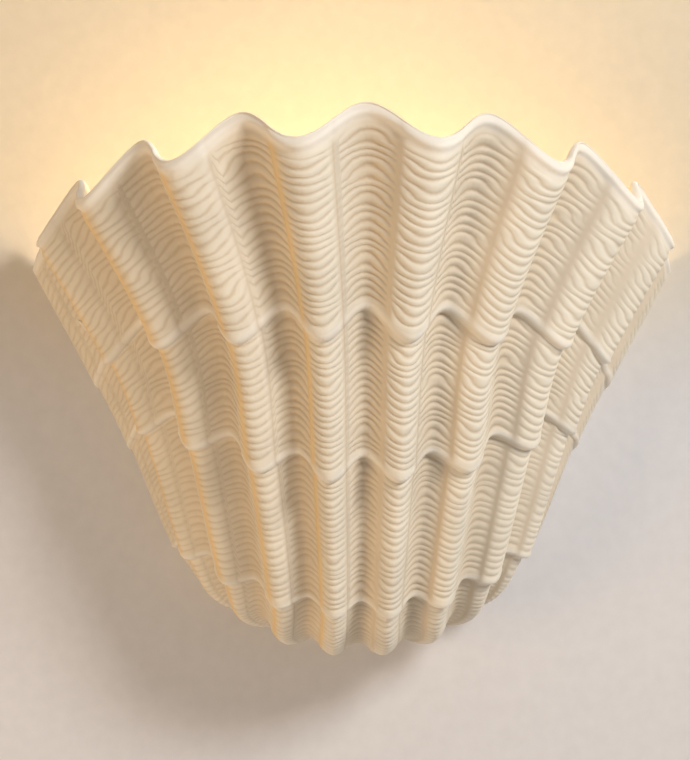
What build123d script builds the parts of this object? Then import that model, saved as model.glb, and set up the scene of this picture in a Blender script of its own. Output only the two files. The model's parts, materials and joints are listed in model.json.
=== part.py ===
from build123d import *
from math import atan2, cos, hypot, pi, radians, sin
import os

os.makedirs("parts", exist_ok=True)

# Wall uplighter: a cast clam shell that hangs on a steel wall bracket, with an upright
# lamp inside it. Millimetres. The origin is on the wall, midway between the two wall
# fixings. +Z is up, -Y comes out into the room and +X is to the right.

# ---- shell: six growth lines from the heel at the wall to the rim ----
# Heights count from a datum just under the belly of the shell.
fixing_height = 150.0

heel_half_width = 14.0
belly_half_width = 72.0
lower_ledge_half_width = 98.0
middle_ledge_half_width = 123.0
upper_ledge_half_width = 141.0
rim_half_width = 177.5

heel_projection = 10.0
belly_projection = 55.0
lower_ledge_projection = 88.0
middle_ledge_projection = 116.0
upper_ledge_projection = 131.0
rim_projection = 150.0

heel_side_height = 26.0
belly_side_height = 36.0
lower_ledge_side_height = 63.0
middle_ledge_side_height = 119.0
upper_ledge_side_height = 154.0
rim_side_height = 220.5

heel_front_height = 24.0
belly_front_height = 9.0
lower_ledge_front_height = 33.5
middle_ledge_front_height = 108.5
upper_ledge_front_height = 184.0
rim_front_height = 287.5

belly_shoulder = 5.0
lower_ledge_shoulder = 11.0
middle_ledge_shoulder = 18.0
upper_ledge_shoulder = 8.0

# ---- flutes: whole numbers are grooves, halves are ribs ----
end_flute = 4.5
stations_per_flute = 4
rim_flute_depth = 9.0
flute_depth_taper = 1.3
side_flute_loss = 0.7
inner_flute_share = 0.75
heel_flute_angle = 21.5
tier_flute_angle = 16.5
upper_ledge_flute_angle = 17.5
rim_flute_angle = 23.0
side_crowding = 2.5
belly_flute_rise = 1.0
lower_ledge_flute_rise = 2.6
middle_ledge_flute_rise = 5.2
upper_ledge_flute_rise = 7.1
rim_flute_rise = 7.4

# ---- casting ----
wall = 7.0
ledge_step = 3.2
ledge_side_loss = 0.65
ledge_side_fade = 6.0
ledge_lip = 0.07
ledge_turn_share = 0.75
rim_lip = 0.03
rows_per_level = 4
heel_boss_low_radius = 15.3
heel_boss_high_radius = 18.1
heel_boss_height = 7.7
heel_boss_lift = 4.0

# ---- wall bracket ----
plate_thickness = 2.0
bar_length = 208.0
bar_height = 36.0
bar_centre_height = 4.0
plate_width = 100.0
plate_height = 88.0
plate_centre_height = -8.0
plate_corner = 5.0
fixing_spacing = 120.0
fixing_slot_length = 12.0
fixing_slot_width = 5.0
cable_hole_radius = 9.0
cable_bore_radius = 5.0
grommet_flange = 2.5
grommet_flange_depth = 1.5

hook_width = 16.0
hook_offset = 92.0
hook_gap = 3.0
hook_ledge_height = 6.0
hook_height = 14.0

hanger_thickness = 2.0
hanger_inner_edge = 82.0
hanger_outer_edge = 134.0
hanger_height = 38.0
hanger_corner = 4.0
hanger_screw_reach = 126.0
hanger_screw_spacing = 20.0
lug_inner_edge = 112.0
lug_depth = 13.0
lug_draft = 20.0
lug_low_level = 4.1
lug_high_level = 4.6
lug_bite = 2.5

# ---- small screws ----
screw_radius = 1.7
screw_head_radius = 3.4
screw_head_height = 1.8
screw_length = 11.0
thread_clearance = 0.05
plate_screw_radius = 1.9
plate_screw_head_radius = 3.7
plate_screw_head_height = 2.4
screw_recess_radius = 1.1

# ---- lamp arm and lampholder, on the lamp axis ----
lamp_projection = 68.0
arm_width = 25.0
arm_thickness = 2.0
arm_reach = 84.0
arm_top = -78.0
arm_leg_top = -22.0
arm_bend_radius = 4.0
arm_screw_heights = (-32.0, -45.0)
nipple_radius = 5.0
nipple_bore_radius = 3.5
nipple_low = -92.0
nipple_high = -67.0
nut_radius = 8.0
nut_height = 4.0
bore_clearance = 0.05

cap_radius = 18.4
cap_height = 15.0
cap_foot_radius = 9.0
cap_wall = 2.0
sleeve_clearance = 0.3
sleeve_wall = 1.8
sleeve_top = -26.0
sleeve_overlap = 4.0
sleeve_mouth_radius = 14.4
insert_height = 5.0
insert_flange = 2.0
insert_radius = 16.0
thread_shell_wall = 0.6
thread_shell_top = -28.0
contact_leaf_width = 7.0
contact_leaf_thickness = 0.5
contact_leaf_rise = 2.0
contact_gap = 0.1

# ---- lamp ----
lamp_cap_radius = 12.95
lamp_cap_clearance = 0.1
lamp_cap_wall = 0.5
lamp_neck_clearance = 0.1
lamp_cap_length = 24.0
insulator_height = 3.5
insulator_low_radius = 5.0
tip_radius = 4.4
tip_height = 1.5
housing_low_radius = 13.6
housing_high_radius = 24.0
housing_height = 31.0
globe_radius = 30.0
globe_wall = 1.4
led_board_radius = 21.0
led_board_thickness = 1.6
led_count = 8
led_ring_radius = 14.0
led_size = 3.0

# ---- terminal block and wires ----
pole_count = 3
pole_spacing = 10.0
terminal_first_pole = 22.0
terminal_height = -12.0
terminal_length = 14.0
terminal_depth = 13.0
terminal_side = 5.0
insert_side = 6.0
insert_clearance = 0.1
wire_bore_radius = 1.3
wire_height_in_block = 6.0
pole_screw_radius = 1.5
pole_screw_offset = 3.6
pole_screw_length = 3.0
wire_radius = 1.1
wire_grip = 0.45
bend_share = 0.45
live_slack_point = (20.0, -36.0, -105.0)
neutral_slack_point = (27.0, -39.0, -105.0)
wire_rise_height = -103.0
wire_pair_spread = 1.16
wire_pair_depth = 0.7
earth_drop = 7.0
earth_turn_drop = 14.7
wire_run_height = -84.0
earth_screw_height = -46.0
earth_ring_radius = 4.2
earth_ring_thickness = 0.8
earth_washer_radius = 4.4
earth_washer_thickness = 0.8
crimp_length = 7.0
crimp_radius = 1.7

half_widths = (
    heel_half_width,
    belly_half_width,
    lower_ledge_half_width,
    middle_ledge_half_width,
    upper_ledge_half_width,
    rim_half_width,
)
projections = (
    heel_projection,
    belly_projection,
    lower_ledge_projection,
    middle_ledge_projection,
    upper_ledge_projection,
    rim_projection,
)
side_heights = (
    heel_side_height,
    belly_side_height,
    lower_ledge_side_height,
    middle_ledge_side_height,
    upper_ledge_side_height,
    rim_side_height,
)
front_heights = (
    heel_front_height,
    belly_front_height,
    lower_ledge_front_height,
    middle_ledge_front_height,
    upper_ledge_front_height,
    rim_front_height,
)
shoulders = (
    0.0,
    belly_shoulder,
    lower_ledge_shoulder,
    middle_ledge_shoulder,
    upper_ledge_shoulder,
    0.0,
)
flute_angles = (
    heel_flute_angle,
    heel_flute_angle,
    tier_flute_angle,
    tier_flute_angle,
    upper_ledge_flute_angle,
    rim_flute_angle,
)
flute_rises = (
    0.0,
    belly_flute_rise,
    lower_ledge_flute_rise,
    middle_ledge_flute_rise,
    upper_ledge_flute_rise,
    rim_flute_rise,
)
# growth line numbers
rim_level = float(len(half_widths) - 1)
first_ledge_level = 2.0
shoulder_peak = 0.65


def grown(values, level):
    # smooth value at a level between the growth lines
    start = min(int(level), len(values) - 2)
    part = level - start
    near, far = values[start], values[start + 1]
    before = values[start - 1] if start > 0 else 2 * near - far
    after = values[start + 2] if start + 2 < len(values) else 2 * far - near
    near_slope = (far - before) / 2
    far_slope = (after - near) / 2
    return (
        near * (2 * part**3 - 3 * part**2 + 1)
        + near_slope * (part**3 - 2 * part**2 + part)
        + far * (3 * part**2 - 2 * part**3)
        + far_slope * (part**3 - part**2)
    )


def bowl_angle(flute, level):
    # angle round the bowl, a right angle at the wall on each side
    step = grown(flute_angles, level)
    spare = 90 - end_flute * step
    crowd = flute / end_flute * abs(flute / end_flute) ** (side_crowding - 1)
    return radians(step * flute + spare * crowd)


def bowl_point(flute, level):
    # a point on the bowl before it is fluted
    angle = bowl_angle(flute, level)
    side = grown(side_heights, level)
    front = grown(front_heights, level)
    shoulder = sin(angle) ** 2 * abs(sin(2 * angle)) / shoulder_peak
    height = side + (front - side) * cos(angle) + grown(shoulders, level) * shoulder
    return (
        grown(half_widths, level) * sin(angle),
        -grown(projections, level) * cos(angle),
        height - fixing_height,
    )


def shell_point(flute, level, proud=0.0, share=1.0):
    # a point on the fluted shell, moved outwards by proud
    step = 0.02
    x, y, z = bowl_point(flute, level)
    low = bowl_point(flute, level - step)
    high = bowl_point(flute, level + step)
    lean = atan2(hypot(high[0], high[1]) - hypot(low[0], low[1]), high[2] - low[2])
    angle = bowl_angle(flute, level)
    across = sin(angle) / grown(half_widths, level)
    forward = -cos(angle) / grown(projections, level)
    size = hypot(across, forward)
    wave = -cos(2 * pi * flute) * (1 - side_flute_loss * (flute / end_flute) ** 2)
    narrowing = (grown(half_widths, level) / rim_half_width) ** flute_depth_taper
    out = rim_flute_depth * narrowing * wave * share + proud
    return (
        x + across / size * cos(lean) * out,
        y + forward / size * cos(lean) * out,
        z - sin(lean) * out - grown(flute_rises, level) * wave,
    )


def ledge_height(flute):
    # how far a ledge stands out of the tier below it, less beside the wall
    return ledge_step * (1 - ledge_side_loss * abs(flute / end_flute) ** ledge_side_fade)


def shell_section(flute):
    # closed outline of the shell wall along one flute line, from heel to rim and back
    step = ledge_height(flute)
    outer_rows = int(first_ledge_level) * rows_per_level // 2
    heel_rows = [first_ledge_level * row / outer_rows for row in range(outer_rows + 1)]
    with BuildLine() as outline:
        Spline(*[shell_point(flute, level) for level in heel_rows])
        ledge = first_ledge_level
        while ledge < rim_level:
            start = ledge + ledge_lip
            run = ledge + 1 - start
            levels = [start + run * row / rows_per_level for row in range(rows_per_level + 1)]
            ThreePointArc(
                shell_point(flute, ledge),
                shell_point(flute, ledge, ledge_turn_share * step),
                shell_point(flute, start, step),
            )
            Spline(
                *[shell_point(flute, level, step * (ledge + 1 - level) / run) for level in levels]
            )
            ledge += 1
        ThreePointArc(
            shell_point(flute, rim_level),
            shell_point(flute, rim_level + rim_lip, -wall / 2),
            shell_point(flute, rim_level, -wall),
        )
        inner_rows = int(rim_level) * rows_per_level // 2
        inner_levels = [rim_level * (1 - row / inner_rows) for row in range(inner_rows + 1)]
        inner_points = [shell_point(flute, rim_level, -wall)]
        for level in inner_levels[1:]:
            inner_points.append(shell_point(flute, level, -wall, inner_flute_share))
        Spline(*inner_points)
        Line(inner_points[-1], shell_point(flute, 0.0))
    return outline.wire()


station_count = int(2 * end_flute * stations_per_flute) + 1
stations = [station / stations_per_flute - end_flute for station in range(station_count)]
hanger_bottom = hook_ledge_height
hanger_back = plate_thickness + (hook_gap - hanger_thickness) / 2
hanger_front = hanger_back + hanger_thickness
hanger_screw_centre = hanger_bottom + hanger_height / 2
hanger_screw_points = [
    (side * hanger_screw_reach, hanger_screw_centre + step * hanger_screw_spacing / 2)
    for side in (-1, 1)
    for step in (-1, 1)
]
front_face = Plane.XZ  # its normal points to -Y, into the room

with BuildPart() as shell_casting:
    add(Solid.make_loft([shell_section(flute) for flute in stations]))
    with Locations((0, 0, shell_point(0, 0)[2] + heel_boss_lift)):
        Cone(
            heel_boss_low_radius,
            heel_boss_high_radius,
            heel_boss_height,
            arc_size=180,
            rotation=(0, 0, 180),
            align=(Align.CENTER, Align.MIN, Align.CENTER),
        )
    for side in (-1, 1):
        low = shell_point(side * end_flute, lug_low_level, lug_bite - wall)
        high = shell_point(side * end_flute, lug_high_level, lug_bite - wall)
        with BuildSketch(front_face.offset(hanger_front)):
            with BuildLine():
                Polyline(
                    (side * lug_inner_edge, low[2]),
                    (low[0], low[2]),
                    (high[0], high[2]),
                    (side * lug_inner_edge, high[2]),
                    close=True,
                )
            make_face()
        extrude(amount=lug_depth, taper=lug_draft)
    with BuildSketch(front_face.offset(hanger_front)):
        with Locations(*hanger_screw_points):
            Circle(screw_radius + thread_clearance)
    extrude(amount=screw_length, mode=Mode.SUBTRACT)
shell_casting.part.label = "shell_casting"
export_step(shell_casting.part, "parts/shell_casting.step")
print("shell", shell_casting.part.is_valid, shell_casting.part.volume, len(shell_casting.part.solids()))


# ---- steel hangers screwed to the shell's two lugs ----
for side, name in ((-1, "hanger_left"), (1, "hanger_right")):
    width = hanger_outer_edge - hanger_inner_edge
    centre = side * (hanger_outer_edge + hanger_inner_edge) / 2
    with BuildPart() as hanger:
        with BuildSketch(front_face.offset(hanger_back)) as outline:
            with Locations((centre, hanger_screw_centre)):
                Rectangle(width, hanger_height)
            fillet(outline.vertices(), hanger_corner)
            with Locations(*[point for point in hanger_screw_points if point[0] * side > 0]):
                Circle(screw_radius + thread_clearance, mode=Mode.SUBTRACT)
        extrude(amount=hanger_thickness)
    hanger.part.label = name
    export_step(hanger.part, f"parts/{name}.step")

with BuildPart() as hanger_screws:
    with BuildSketch(front_face.offset(hanger_back)):
        with Locations(*hanger_screw_points):
            Circle(screw_head_radius)
    extrude(amount=-screw_head_height)
    with BuildSketch(front_face.offset(hanger_back)):
        with Locations(*hanger_screw_points):
            Circle(screw_radius)
    extrude(amount=screw_length)
    with BuildSketch(front_face.offset(hanger_back - screw_head_height)):
        with Locations(*hanger_screw_points):
            RegularPolygon(screw_recess_radius, 6)
    extrude(amount=screw_head_height / 2, mode=Mode.SUBTRACT)
hanger_screws.part.label = "hanger_screws"
export_step(hanger_screws.part, "parts/hanger_screws.step")

# ---- pressed steel wall plate with two lanced hooks ----
fixing_points = [(-fixing_spacing / 2, 0), (fixing_spacing / 2, 0)]
pole_points = [
    (terminal_first_pole + pole * pole_spacing, terminal_height)
    for pole in range(pole_count)
]
block_screw_point = (terminal_first_pole + pole_spacing / 2, terminal_height)
earth_screw_point = (terminal_first_pole, earth_screw_height)
arm_screw_points = [(0, height) for height in arm_screw_heights]
plate_screw_points = [block_screw_point, earth_screw_point] + arm_screw_points
hook_points = [(side * hook_offset, hook_ledge_height) for side in (-1, 1)]
hook_reach = hook_gap + plate_thickness

with BuildPart() as back_plate:
    with BuildSketch(front_face) as plate_outline:
        with Locations((0, bar_centre_height)):
            Rectangle(bar_length, bar_height)
        with Locations((0, plate_centre_height)):
            Rectangle(plate_width, plate_height)
        fillet(plate_outline.vertices(), plate_corner)
        Circle(cable_hole_radius, mode=Mode.SUBTRACT)
        with Locations(*fixing_points):
            SlotOverall(fixing_slot_length, fixing_slot_width, mode=Mode.SUBTRACT)
        with Locations(*plate_screw_points):
            Circle(plate_screw_radius + thread_clearance, mode=Mode.SUBTRACT)
        with Locations(*hook_points):
            Rectangle(hook_width, hook_height, align=(Align.CENTER, Align.MIN), mode=Mode.SUBTRACT)
    extrude(amount=plate_thickness)
    with BuildSketch(front_face.offset(plate_thickness)):
        with Locations(*hook_points):
            Rectangle(hook_width, plate_thickness, align=(Align.CENTER, Align.MAX))
    extrude(amount=hook_reach)
    with BuildSketch(front_face.offset(plate_thickness + hook_gap)):
        with Locations(*hook_points):
            Rectangle(hook_width, hook_height, align=(Align.CENTER, Align.MIN))
    extrude(amount=plate_thickness)
back_plate.part.label = "back_plate"
export_step(back_plate.part, "parts/back_plate.step")

with BuildPart() as cable_grommet:
    with BuildSketch(front_face.offset(plate_thickness)):
        Circle(cable_hole_radius + grommet_flange)
    extrude(amount=grommet_flange_depth)
    fillet(cable_grommet.edges().group_by(Axis.Y)[0], grommet_flange_depth / 2)
    with BuildSketch(front_face):
        Circle(cable_hole_radius)
    extrude(amount=plate_thickness)
    with BuildSketch(front_face):
        Circle(cable_bore_radius)
    extrude(amount=plate_thickness + grommet_flange_depth, mode=Mode.SUBTRACT)
cable_grommet.part.label = "cable_grommet"
export_step(cable_grommet.part, "parts/cable_grommet.step")

# ---- lamp arm: a steel strip down the plate and out under the lampholder ----
lamp_axis = (0, -lamp_projection)
arm_under = arm_top - arm_thickness
side_face = Plane.YZ.offset(-arm_width / 2)

with BuildPart() as lamp_arm:
    with BuildSketch(side_face) as arm_outline:
        with BuildLine():
            Polyline(
                (-plate_thickness, arm_leg_top),
                (-plate_thickness, arm_under),
                (-arm_reach, arm_under),
                (-arm_reach, arm_top),
                (-plate_thickness - arm_thickness, arm_top),
                (-plate_thickness - arm_thickness, arm_leg_top),
                close=True,
            )
        make_face()
    extrude(amount=arm_width)
    bend_edges = lamp_arm.edges().filter_by(Axis.X)
    inner_bend = bend_edges.sort_by_distance((0, -plate_thickness - arm_thickness, arm_top))[0]
    outer_bend = bend_edges.sort_by_distance((0, -plate_thickness, arm_under))[0]
    fillet(inner_bend, arm_bend_radius - arm_thickness)
    fillet(outer_bend, arm_bend_radius)
    tip_edges = lamp_arm.edges().filter_by(Axis.Z).group_by(Axis.Y)[0]
    fillet(tip_edges, arm_bend_radius)
    with BuildSketch(Plane.XY.offset(arm_under)):
        with Locations(lamp_axis):
            Circle(nipple_radius + bore_clearance)
    extrude(amount=arm_thickness, mode=Mode.SUBTRACT)
    with BuildSketch(front_face.offset(plate_thickness)):
        with Locations(*arm_screw_points):
            Circle(plate_screw_radius + thread_clearance)
    extrude(amount=arm_thickness, mode=Mode.SUBTRACT)
lamp_arm.part.label = "lamp_arm"
export_step(lamp_arm.part, "parts/lamp_arm.step")


def plate_screws(name, points, seat):
    # pan-head screws tapped into the wall plate, their heads seated at a distance from the wall
    with BuildPart() as screws:
        with BuildSketch(front_face.offset(thread_clearance)):
            with Locations(*points):
                Circle(plate_screw_radius)
        extrude(amount=seat - thread_clearance)
        with BuildSketch(front_face.offset(seat)):
            with Locations(*points):
                Circle(plate_screw_head_radius)
        extrude(amount=plate_screw_head_height)
        with BuildSketch(front_face.offset(seat + plate_screw_head_height)):
            with Locations(*points):
                RegularPolygon(screw_recess_radius, 6)
        extrude(amount=-plate_screw_head_height / 2, mode=Mode.SUBTRACT)
    screws.part.label = name
    export_step(screws.part, f"parts/{name}.step")


plate_screws("arm_screws", arm_screw_points, plate_thickness + arm_thickness)

with BuildPart() as threaded_nipple:
    with BuildSketch(Plane.XY.offset(nipple_low)):
        with Locations(lamp_axis):
            Circle(nipple_radius)
            Circle(nipple_bore_radius, mode=Mode.SUBTRACT)
    extrude(amount=nipple_high - nipple_low)
threaded_nipple.part.label = "threaded_nipple"
export_step(threaded_nipple.part, "parts/threaded_nipple.step")

with BuildPart() as lock_nut:
    with BuildSketch(Plane.XY.offset(arm_under)):
        with Locations(lamp_axis):
            RegularPolygon(nut_radius, 6)
            Circle(nipple_radius + bore_clearance, mode=Mode.SUBTRACT)
    extrude(amount=-nut_height)
lock_nut.part.label = "lock_nut"
export_step(lock_nut.part, "parts/lock_nut.step")

# ---- lampholder, turned about the lamp axis ----
cap_top = arm_top + cap_height
insert_bottom = cap_top
insert_top = insert_bottom + insert_height
sleeve_inner_radius = cap_radius + sleeve_clearance
sleeve_bottom = cap_top - sleeve_overlap
thread_shell_inner_radius = lamp_cap_radius + lamp_cap_clearance
thread_shell_radius = thread_shell_inner_radius + thread_shell_wall
lamp_axis_plane = Plane(origin=(0, -lamp_projection, 0), x_dir=(1, 0, 0), z_dir=(0, -1, 0))
lamp_line = Axis((0, -lamp_projection, 0), (0, 0, 1))


def turned(name, outline):
    # a ring turned about the lamp axis from radius and height points
    with BuildPart() as ring:
        with BuildSketch(lamp_axis_plane):
            with BuildLine():
                Polyline(*outline, close=True)
            make_face()
        revolve(axis=lamp_line)
    ring.part.label = name
    export_step(ring.part, f"parts/{name}.step")
    return ring.part


turned(
    "holder_cap",
    [
        (nipple_radius + bore_clearance, arm_top),
        (cap_foot_radius, arm_top),
        (cap_radius, arm_top + cap_height / 2),
        (cap_radius, cap_top),
        (cap_radius - cap_wall, cap_top),
        (cap_radius - cap_wall, arm_top + cap_height / 2 + cap_wall / 2),
        (cap_foot_radius, arm_top + cap_wall),
        (nipple_radius + bore_clearance, arm_top + cap_wall),
    ],
)
turned(
    "holder_insert",
    [
        (0, insert_bottom),
        (cap_radius, insert_bottom),
        (cap_radius, insert_bottom + insert_flange),
        (insert_radius, insert_bottom + insert_flange),
        (insert_radius, insert_top),
        (0, insert_top),
    ],
)
turned(
    "thread_shell",
    [
        (thread_shell_inner_radius, insert_top),
        (thread_shell_radius, insert_top),
        (thread_shell_radius, thread_shell_top),
        (thread_shell_inner_radius, thread_shell_top),
    ],
)
turned(
    "holder_sleeve",
    [
        (sleeve_inner_radius, sleeve_bottom),
        (sleeve_inner_radius + sleeve_wall, sleeve_bottom),
        (sleeve_inner_radius + sleeve_wall, sleeve_top - sleeve_wall),
        (sleeve_inner_radius, sleeve_top),
        (sleeve_mouth_radius, sleeve_top),
        (sleeve_mouth_radius, sleeve_top - sleeve_wall / 2),
        (sleeve_inner_radius, sleeve_top - 2 * sleeve_wall),
    ],
)

with BuildPart() as centre_contact:
    with BuildSketch(Plane.XZ.offset(lamp_projection - contact_leaf_width / 2)):
        with BuildLine() as leaf_line:
            Polyline(
                (-insert_radius / 2, insert_top + contact_leaf_thickness / 2),
                (-contact_leaf_width / 2, insert_top + contact_leaf_thickness / 2),
                (0, insert_top + contact_leaf_rise - contact_leaf_thickness / 2),
                (contact_leaf_width / 2, insert_top + contact_leaf_rise - contact_leaf_thickness / 2),
            )
            offset(amount=contact_leaf_thickness / 2, side=Side.BOTH)
        make_face()
    extrude(amount=contact_leaf_width)
centre_contact.part.label = "centre_contact"
export_step(centre_contact.part, "parts/centre_contact.step")

# ---- screw-in lamp, turned about the same axis ----
tip_bottom = insert_top + contact_leaf_rise + contact_gap
tip_top = tip_bottom + tip_height
lamp_cap_bottom = tip_top + insulator_height
lamp_cap_high = lamp_cap_bottom + lamp_cap_length
lamp_cap_floor = lamp_cap_bottom + lamp_cap_wall
lamp_neck_radius = lamp_cap_radius - lamp_cap_wall - lamp_neck_clearance
housing_top = lamp_cap_high + housing_height
globe_centre = housing_top + (globe_radius**2 - housing_high_radius**2) ** 0.5

turned("contact_tip", [(0, tip_bottom), (tip_radius, tip_bottom), (tip_radius, tip_top), (0, tip_top)])
turned(
    "cap_insulator",
    [
        (0, tip_top),
        (insulator_low_radius, tip_top),
        (lamp_cap_radius - tip_height, lamp_cap_bottom),
        (0, lamp_cap_bottom),
    ],
)
turned(
    "lamp_cap",
    [
        (0, lamp_cap_bottom),
        (lamp_cap_radius - tip_height, lamp_cap_bottom),
        (lamp_cap_radius, lamp_cap_bottom + tip_height),
        (lamp_cap_radius, lamp_cap_high),
        (lamp_cap_radius - lamp_cap_wall, lamp_cap_high),
        (lamp_cap_radius - lamp_cap_wall, lamp_cap_floor + tip_height),
        (lamp_cap_radius - lamp_cap_wall - tip_height, lamp_cap_floor),
        (0, lamp_cap_floor),
    ],
)

with BuildPart() as lamp_housing:
    with BuildSketch(lamp_axis_plane):
        with BuildLine():
            neck = Polyline(
                (0, lamp_cap_floor),
                (lamp_neck_radius - 2 * tip_height, lamp_cap_floor),
                (lamp_neck_radius, lamp_cap_floor + 2 * tip_height),
                (lamp_neck_radius, lamp_cap_high),
                (housing_low_radius, lamp_cap_high),
                (housing_low_radius, lamp_cap_high + tip_height),
            )
            flare = TangentArc(neck @ 1, (housing_high_radius, housing_top), tangent=(0, 1))
            Polyline(flare @ 1, (0, housing_top), neck @ 0)
        make_face()
    revolve(axis=lamp_line)
lamp_housing.part.label = "lamp_housing"
export_step(lamp_housing.part, "parts/lamp_housing.step")

with BuildPart() as led_board:
    with BuildSketch(Plane.XY.offset(housing_top)):
        with Locations(lamp_axis):
            Circle(led_board_radius)
    extrude(amount=led_board_thickness)
    with BuildSketch(Plane.XY.offset(housing_top + led_board_thickness)):
        with Locations(lamp_axis):
            with PolarLocations(led_ring_radius, led_count):
                Rectangle(led_size, led_size)
    extrude(amount=led_size / 4)
led_board.part.label = "led_board"
export_step(led_board.part, "parts/led_board.step")

with BuildPart() as lamp_globe:
    with BuildSketch(lamp_axis_plane):
        with Locations((0, globe_centre)):
            Circle(globe_radius)
            Circle(globe_radius - globe_wall, mode=Mode.SUBTRACT)
        with Locations((0, housing_top)):
            Rectangle(globe_radius, 2 * globe_radius, align=(Align.MIN, Align.MIN), mode=Mode.INTERSECT)
    revolve(axis=lamp_line)
lamp_globe.part.label = "lamp_globe"
export_step(lamp_globe.part, "parts/lamp_globe.step")
print("lamp top", globe_centre + globe_radius, lamp_globe.part.is_valid, lamp_globe.part.volume)

# ---- three-pole terminal block ----
terminal_width = (pole_count - 1) * pole_spacing + 2 * terminal_side
terminal_centre = (terminal_first_pole + (pole_count - 1) * pole_spacing / 2, terminal_height)
terminal_front = plate_thickness + terminal_depth
wire_plane_depth = plate_thickness + wire_height_in_block
pole_screw_points = [(x, z + step * pole_screw_offset) for x, z in pole_points for step in (-1, 1)]

with BuildPart() as terminal_body:
    with BuildSketch(front_face.offset(plate_thickness)) as terminal_outline:
        with Locations(terminal_centre):
            Rectangle(terminal_width, terminal_length)
        with Locations(block_screw_point):
            Circle(plate_screw_radius + thread_clearance, mode=Mode.SUBTRACT)
    extrude(amount=terminal_depth)
    with BuildSketch(Plane.XY.offset(terminal_height - terminal_length / 2)):
        with Locations(*[(x, -wire_plane_depth) for x, _ in pole_points]):
            Rectangle(insert_side + 2 * insert_clearance, insert_side + 2 * insert_clearance)
    extrude(amount=terminal_length, mode=Mode.SUBTRACT)
    with BuildSketch(front_face.offset(wire_plane_depth)):
        with Locations(*pole_screw_points):
            Circle(pole_screw_radius + insert_clearance)
    extrude(amount=terminal_depth, mode=Mode.SUBTRACT)
terminal_body.part.label = "terminal_body"
export_step(terminal_body.part, "parts/terminal_body.step")

with BuildPart() as terminal_inserts:
    with BuildSketch(Plane.XY.offset(terminal_height - terminal_length / 2 + insert_clearance)):
        with Locations(*[(x, -wire_plane_depth) for x, _ in pole_points]):
            Rectangle(insert_side, insert_side)
            Circle(wire_bore_radius, mode=Mode.SUBTRACT)
    extrude(amount=terminal_length - 2 * insert_clearance)
    with BuildSketch(front_face.offset(wire_plane_depth)):
        with Locations(*pole_screw_points):
            Circle(pole_screw_radius + thread_clearance)
    extrude(amount=insert_side, mode=Mode.SUBTRACT)
terminal_inserts.part.label = "terminal_inserts"
export_step(terminal_inserts.part, "parts/terminal_inserts.step")

with BuildPart() as terminal_screws:
    with BuildSketch(front_face.offset(wire_plane_depth + wire_radius + insert_clearance)):
        with Locations(*pole_screw_points):
            Circle(pole_screw_radius)
    extrude(amount=pole_screw_length)
terminal_screws.part.label = "terminal_screws"
export_step(terminal_screws.part, "parts/terminal_screws.step")
plate_screws("block_screw", [block_screw_point], terminal_front)

# ---- earth terminal on the plate ----
earth_ring_back = plate_thickness
earth_washer_back = earth_ring_back + earth_ring_thickness
earth_screw_seat = earth_washer_back + earth_washer_thickness
crimp_centre = earth_screw_height + earth_ring_radius + crimp_length / 2

with BuildPart() as earth_ring:
    with BuildSketch(front_face.offset(earth_ring_back)):
        with Locations(earth_screw_point):
            Circle(earth_ring_radius)
        with Locations((terminal_first_pole, crimp_centre - crimp_radius)):
            Rectangle(crimp_radius, crimp_length)
        with Locations(earth_screw_point):
            Circle(plate_screw_radius + thread_clearance, mode=Mode.SUBTRACT)
    extrude(amount=earth_ring_thickness)
    with BuildSketch(Plane.XY.offset(crimp_centre - crimp_length / 2)):
        with Locations((terminal_first_pole, -plate_thickness - crimp_radius)):
            Circle(crimp_radius)
    extrude(amount=crimp_length)
    with BuildSketch(Plane.XY.offset(crimp_centre - crimp_length / 2)):
        with Locations((terminal_first_pole, -plate_thickness - crimp_radius)):
            Circle(wire_radius)
    extrude(amount=crimp_length, mode=Mode.SUBTRACT)
earth_ring.part.label = "earth_ring"
export_step(earth_ring.part, "parts/earth_ring.step")

with BuildPart() as earth_washer:
    with BuildSketch(front_face.offset(earth_washer_back)):
        with Locations(earth_screw_point):
            Circle(earth_washer_radius)
            Circle(plate_screw_radius + thread_clearance, mode=Mode.SUBTRACT)
    extrude(amount=earth_washer_thickness)
earth_washer.part.label = "earth_washer"
export_step(earth_washer.part, "parts/earth_washer.step")
plate_screws("earth_screw", [earth_screw_point], earth_screw_seat)

# ---- inner wires, from the block to the earth ring and up the hollow nipple ----
wire_start = terminal_height - terminal_length / 4
live_route = [
    (terminal_first_pole + pole_spacing, -wire_plane_depth, wire_start),
    (terminal_first_pole + pole_spacing, -wire_plane_depth, wire_run_height),
    live_slack_point,
    (-wire_pair_spread, wire_pair_depth - lamp_projection, wire_rise_height),
    (-wire_pair_spread, wire_pair_depth - lamp_projection, insert_bottom),
]
neutral_route = [
    (terminal_first_pole + 2 * pole_spacing, -wire_plane_depth, wire_start),
    (terminal_first_pole + 2 * pole_spacing, -wire_plane_depth, wire_run_height),
    neutral_slack_point,
    (wire_pair_spread, -wire_pair_depth - lamp_projection, wire_rise_height),
    (wire_pair_spread, -wire_pair_depth - lamp_projection, insert_bottom),
]
earth_route = [
    (terminal_first_pole, -wire_plane_depth, wire_start),
    (terminal_first_pole, -wire_plane_depth, wire_start - earth_drop),
    (terminal_first_pole, -plate_thickness - crimp_radius, wire_start - earth_turn_drop),
    (terminal_first_pole, -plate_thickness - crimp_radius, crimp_centre - wire_grip * crimp_length),
]


def wire_radii(route):
    # the largest bend radius at each corner, from a share of the shorter run beside it
    runs = [Vector(*end) - Vector(*start) for start, end in zip(route, route[1:])]
    radii = []
    for before, after in zip(runs, runs[1:]):
        half_turn = radians(before.get_angle(after)) / 2
        radii.append(bend_share * min(before.length, after.length) * cos(half_turn) / sin(half_turn))
    return radii


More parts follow.
